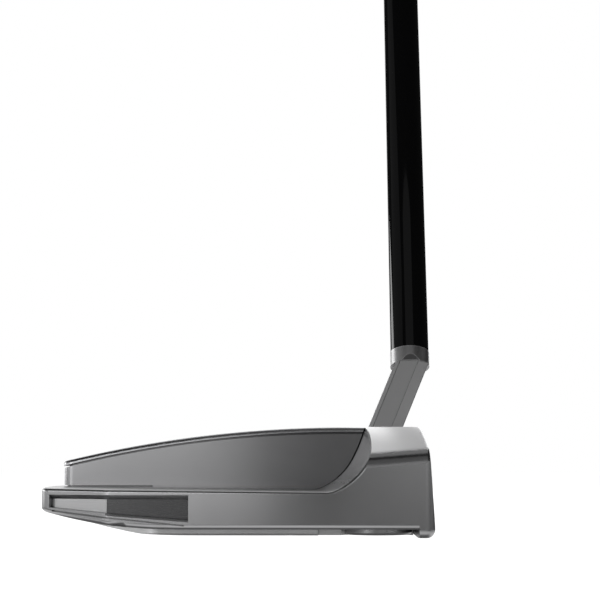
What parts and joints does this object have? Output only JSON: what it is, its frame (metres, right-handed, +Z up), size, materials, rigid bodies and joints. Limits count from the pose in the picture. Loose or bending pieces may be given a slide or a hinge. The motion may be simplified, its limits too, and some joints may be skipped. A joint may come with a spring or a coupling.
{
  "type": "mallet putter",
  "caption": "Right-handed mallet putter with a raised core between low wings, a coved face block, a slant neck, a gloss black shaft and a flat-fronted grip.",
  "frame": {"origin": "on the flat rest face of the sole, below the middle of the head", "axes": "+X the target direction that the face looks along, -Y the toe, +Y the heel that the shaft leans towards, +Z up"},
  "size_m": [0.1013, 0.3678, 0.8158],
  "materials": {
    "head_metal": "satin gunmetal, brushed",
    "crown_metal": "brushed gunmetal",
    "inlay_metal": "satin natural metal",
    "tungsten": "dark satin",
    "sole_metal": "brushed gunmetal",
    "insert_metal": "milled, dark anodised",
    "sight_enamel": "matt white enamel",
    "weight_steel": "satin steel",
    "bush_steel": "machined steel",
    "screw_steel": "blackened steel",
    "nylon": "black nylon",
    "tape": "double-sided adhesive tape",
    "damping_rubber": "soft rubber",
    "shaft_black": "gloss black lacquer over steel",
    "grip_foam": "foamed rubber underlisting",
    "grip_rubber": "soft textured polyurethane",
    "neck_steel": "satin gunmetal steel"
  },
  "bodies": {
    "club": {"frame_body": "head_metal", "core_shell": "head_metal", "crown_plate": "crown_metal", "toe_wing_inlay": "inlay_metal", "heel_wing_inlay": "inlay_metal", "toe_wing_weight": "tungsten", "heel_wing_weight": "tungsten", "sole_plate": "sole_metal", "face_insert": "insert_metal", "sight_line": "sight_enamel", "toe_weight_bush": "bush_steel", "heel_weight_bush": "bush_steel", "sole_plate_screws": "screw_steel", "core_screws": "screw_steel", "neck_screw": "screw_steel", "insert_tape": "tape", "grip_tape": "tape", "damping_pad": "damping_rubber", "shaft": "shaft_black", "grip_core": "grip_foam", "grip_skin": "grip_rubber", "grip_cap": "grip_rubber", "neck": "neck_steel"},
    "toe_washer_body": {"toe_weight_washer": "nylon"},
    "toe_weight_body": {"toe_sole_weight": "weight_steel"},
    "heel_washer_body": {"heel_weight_washer": "nylon"},
    "heel_weight_body": {"heel_sole_weight": "weight_steel"}
  },
  "joints": [
    {"name": "toe_weight_slide", "type": "slide", "parent": "club", "child": "toe_washer_body", "axis": [0, 0, -1], "range_m": [0, 0.005]},
    {"name": "toe_weight_turn", "type": "hinge", "parent": "toe_washer_body", "child": "toe_weight_body", "pos_m": [0.0324, -0.029, 0], "axis": [0, 0, -1], "range_deg": [0, 1800]},
    {"name": "heel_weight_slide", "type": "slide", "parent": "club", "child": "heel_washer_body", "axis": [0, 0, -1], "range_m": [0, 0.005]},
    {"name": "heel_weight_turn", "type": "hinge", "parent": "heel_washer_body", "child": "heel_weight_body", "pos_m": [0.0324, 0.029, 0], "axis": [0, 0, -1], "range_deg": [0, 1800]}
  ],
  "couplings": [
    {"joint": "toe_weight_slide", "follows": "toe_weight_turn", "m_per_rad": 0.00015915},
    {"joint": "heel_weight_slide", "follows": "heel_weight_turn", "m_per_rad": 0.00015915}
  ]
}
